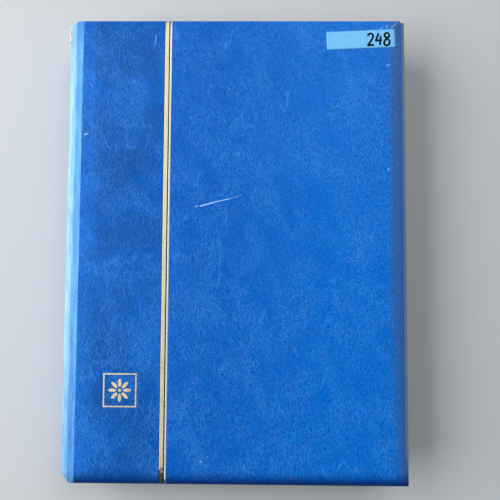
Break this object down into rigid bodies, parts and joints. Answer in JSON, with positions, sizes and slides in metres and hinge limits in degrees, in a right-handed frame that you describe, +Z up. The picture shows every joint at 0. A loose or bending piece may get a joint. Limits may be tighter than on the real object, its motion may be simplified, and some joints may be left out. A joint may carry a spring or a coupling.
{
  "type": "stamp album",
  "caption": "Padded leatherette stamp stockbook with a gold-lined front cover, folding spine and black pocket leaves between glassine sheets.",
  "frame": {"origin": "centre of the underside of the closed album lying on its back cover", "axes": "+X from the spine to the fore-edge, +Y from the tail to the head, +Z up through the leaves to the front cover"},
  "size_m": [0.225, 0.307, 0.0386],
  "materials": {
    "blue_leatherette": "grained, semi-matt",
    "grey_board": "raw grey board",
    "foam": "open-cell foam",
    "endpaper": "plain laid paper",
    "binding_linen": "woven linen over glued stubs",
    "gold_foil": "hot-stamped foil, mirror bright",
    "label_paper": "matt self-adhesive paper",
    "black_card": "smooth black card",
    "clear_film": "clear glossy film",
    "glassine": "translucent glassine"
  },
  "bodies": {
    "back_cover": {"back_board": "grey_board", "back_padding": "foam", "back_leatherette": "blue_leatherette", "back_endpaper": "endpaper"},
    "spine": {"spine_board": "grey_board", "spine_leatherette": "blue_leatherette", "binding_block": "binding_linen"},
    "front_cover": {"front_board": "grey_board", "front_padding": "foam", "front_leatherette": "blue_leatherette", "front_endpaper": "endpaper", "gold_foil": "gold_foil", "index_label": "label_paper"},
    "leaf_01_body": {"leaf_01": "black_card", "leaf_01_pockets": "clear_film"},
    "leaf_02_body": {"leaf_02": "black_card", "leaf_02_pockets": "clear_film", "leaf_02_interleaf": "glassine"},
    "leaf_03_body": {"leaf_03": "black_card", "leaf_03_pockets": "clear_film", "leaf_03_interleaf": "glassine"},
    "leaf_04_body": {"leaf_04": "black_card", "leaf_04_pockets": "clear_film", "leaf_04_interleaf": "glassine"},
    "leaf_05_body": {"leaf_05": "black_card", "leaf_05_pockets": "clear_film", "leaf_05_interleaf": "glassine"},
    "leaf_06_body": {"leaf_06": "black_card", "leaf_06_pockets": "clear_film", "leaf_06_interleaf": "glassine"},
    "leaf_07_body": {"leaf_07": "black_card", "leaf_07_pockets": "clear_film", "leaf_07_interleaf": "glassine"},
    "leaf_08_body": {"leaf_08": "black_card", "leaf_08_pockets": "clear_film", "leaf_08_interleaf": "glassine"},
    "leaf_09_body": {"leaf_09": "black_card", "leaf_09_pockets": "clear_film", "leaf_09_interleaf": "glassine"},
    "leaf_10_body": {"leaf_10": "black_card", "leaf_10_pockets": "clear_film", "leaf_10_interleaf": "glassine"},
    "leaf_11_body": {"leaf_11": "black_card", "leaf_11_pockets": "clear_film", "leaf_11_interleaf": "glassine"},
    "leaf_12_body": {"leaf_12": "black_card", "leaf_12_pockets": "clear_film", "leaf_12_interleaf": "glassine"},
    "leaf_13_body": {"leaf_13": "black_card", "leaf_13_pockets": "clear_film", "leaf_13_interleaf": "glassine"},
    "leaf_14_body": {"leaf_14": "black_card", "leaf_14_pockets": "clear_film", "leaf_14_interleaf": "glassine"},
    "leaf_15_body": {"leaf_15": "black_card", "leaf_15_pockets": "clear_film", "leaf_15_interleaf": "glassine"},
    "leaf_16_body": {"leaf_16": "black_card", "leaf_16_pockets": "clear_film", "leaf_16_interleaf": "glassine"}
  },
  "joints": [
    {"name": "spine_fold", "type": "hinge", "parent": "back_cover", "child": "spine", "pos_m": [-0.1094, 0, 0.0032], "axis": [0, -1, 0], "range_deg": [0, 90]},
    {"name": "front_cover_fold", "type": "hinge", "parent": "spine", "child": "front_cover", "pos_m": [-0.1094, 0, 0.03535], "axis": [0, -1, 0], "range_deg": [0, 90]},
    {"name": "leaf_01_turn", "type": "hinge", "parent": "spine", "child": "leaf_01_body", "pos_m": [-0.1035, 0, 0.03165], "axis": [0, -1, 0], "range_deg": [0, 79]},
    {"name": "leaf_02_turn", "type": "hinge", "parent": "spine", "child": "leaf_02_body", "pos_m": [-0.1035, 0, 0.03], "axis": [0, -1, 0], "range_deg": [0, 76.5]},
    {"name": "leaf_03_turn", "type": "hinge", "parent": "spine", "child": "leaf_03_body", "pos_m": [-0.1035, 0, 0.02835], "axis": [0, -1, 0], "range_deg": [0, 74]},
    {"name": "leaf_04_turn", "type": "hinge", "parent": "spine", "child": "leaf_04_body", "pos_m": [-0.1035, 0, 0.0267], "axis": [0, -1, 0], "range_deg": [0, 71.5]},
    {"name": "leaf_05_turn", "type": "hinge", "parent": "spine", "child": "leaf_05_body", "pos_m": [-0.1035, 0, 0.02505], "axis": [0, -1, 0], "range_deg": [0, 69]},
    {"name": "leaf_06_turn", "type": "hinge", "parent": "spine", "child": "leaf_06_body", "pos_m": [-0.1035, 0, 0.0234], "axis": [0, -1, 0], "range_deg": [0, 66.5]},
    {"name": "leaf_07_turn", "type": "hinge", "parent": "spine", "child": "leaf_07_body", "pos_m": [-0.1035, 0, 0.02175], "axis": [0, -1, 0], "range_deg": [0, 64]},
    {"name": "leaf_08_turn", "type": "hinge", "parent": "spine", "child": "leaf_08_body", "pos_m": [-0.1035, 0, 0.0201], "axis": [0, -1, 0], "range_deg": [0, 61.5]},
    {"name": "leaf_09_turn", "type": "hinge", "parent": "spine", "child": "leaf_09_body", "pos_m": [-0.1035, 0, 0.01845], "axis": [0, -1, 0], "range_deg": [-61.5, 0]},
    {"name": "leaf_10_turn", "type": "hinge", "parent": "spine", "child": "leaf_10_body", "pos_m": [-0.1035, 0, 0.0168], "axis": [0, -1, 0], "range_deg": [-64, 0]},
    {"name": "leaf_11_turn", "type": "hinge", "parent": "spine", "child": "leaf_11_body", "pos_m": [-0.1035, 0, 0.01515], "axis": [0, -1, 0], "range_deg": [-66.5, 0]},
    {"name": "leaf_12_turn", "type": "hinge", "parent": "spine", "child": "leaf_12_body", "pos_m": [-0.1035, 0, 0.0135], "axis": [0, -1, 0], "range_deg": [-69, 0]},
    {"name": "leaf_13_turn", "type": "hinge", "parent": "spine", "child": "leaf_13_body", "pos_m": [-0.1035, 0, 0.01185], "axis": [0, -1, 0], "range_deg": [-71.5, 0]},
    {"name": "leaf_14_turn", "type": "hinge", "parent": "spine", "child": "leaf_14_body", "pos_m": [-0.1035, 0, 0.0102], "axis": [0, -1, 0], "range_deg": [-74, 0]},
    {"name": "leaf_15_turn", "type": "hinge", "parent": "spine", "child": "leaf_15_body", "pos_m": [-0.1035, 0, 0.00855], "axis": [0, -1, 0], "range_deg": [-76.5, 0]},
    {"name": "leaf_16_turn", "type": "hinge", "parent": "spine", "child": "leaf_16_body", "pos_m": [-0.1035, 0, 0.0069], "axis": [0, -1, 0], "range_deg": [-79, 0]}
  ],
  "couplings": [
    {"joint": "spine_fold", "follows": "front_cover_fold", "ratio": 1},
    {"joint": "leaf_01_turn", "follows": "front_cover_fold", "ratio": 0.87778},
    {"joint": "leaf_02_turn", "follows": "front_cover_fold", "ratio": 0.85},
    {"joint": "leaf_03_turn", "follows": "front_cover_fold", "ratio": 0.82222},
    {"joint": "leaf_04_turn", "follows": "front_cover_fold", "ratio": 0.79444},
    {"joint": "leaf_05_turn", "follows": "front_cover_fold", "ratio": 0.76667},
    {"joint": "leaf_06_turn", "follows": "front_cover_fold", "ratio": 0.73889},
    {"joint": "leaf_07_turn", "follows": "front_cover_fold", "ratio": 0.71111},
    {"joint": "leaf_08_turn", "follows": "front_cover_fold", "ratio": 0.68333},
    {"joint": "leaf_09_turn", "follows": "front_cover_fold", "ratio": -0.68333},
    {"joint": "leaf_10_turn", "follows": "front_cover_fold", "ratio": -0.71111},
    {"joint": "leaf_11_turn", "follows": "front_cover_fold", "ratio": -0.73889},
    {"joint": "leaf_12_turn", "follows": "front_cover_fold", "ratio": -0.76667},
    {"joint": "leaf_13_turn", "follows": "front_cover_fold", "ratio": -0.79444},
    {"joint": "leaf_14_turn", "follows": "front_cover_fold", "ratio": -0.82222},
    {"joint": "leaf_15_turn", "follows": "front_cover_fold", "ratio": -0.85},
    {"joint": "leaf_16_turn", "follows": "front_cover_fold", "ratio": -0.87778}
  ]
}
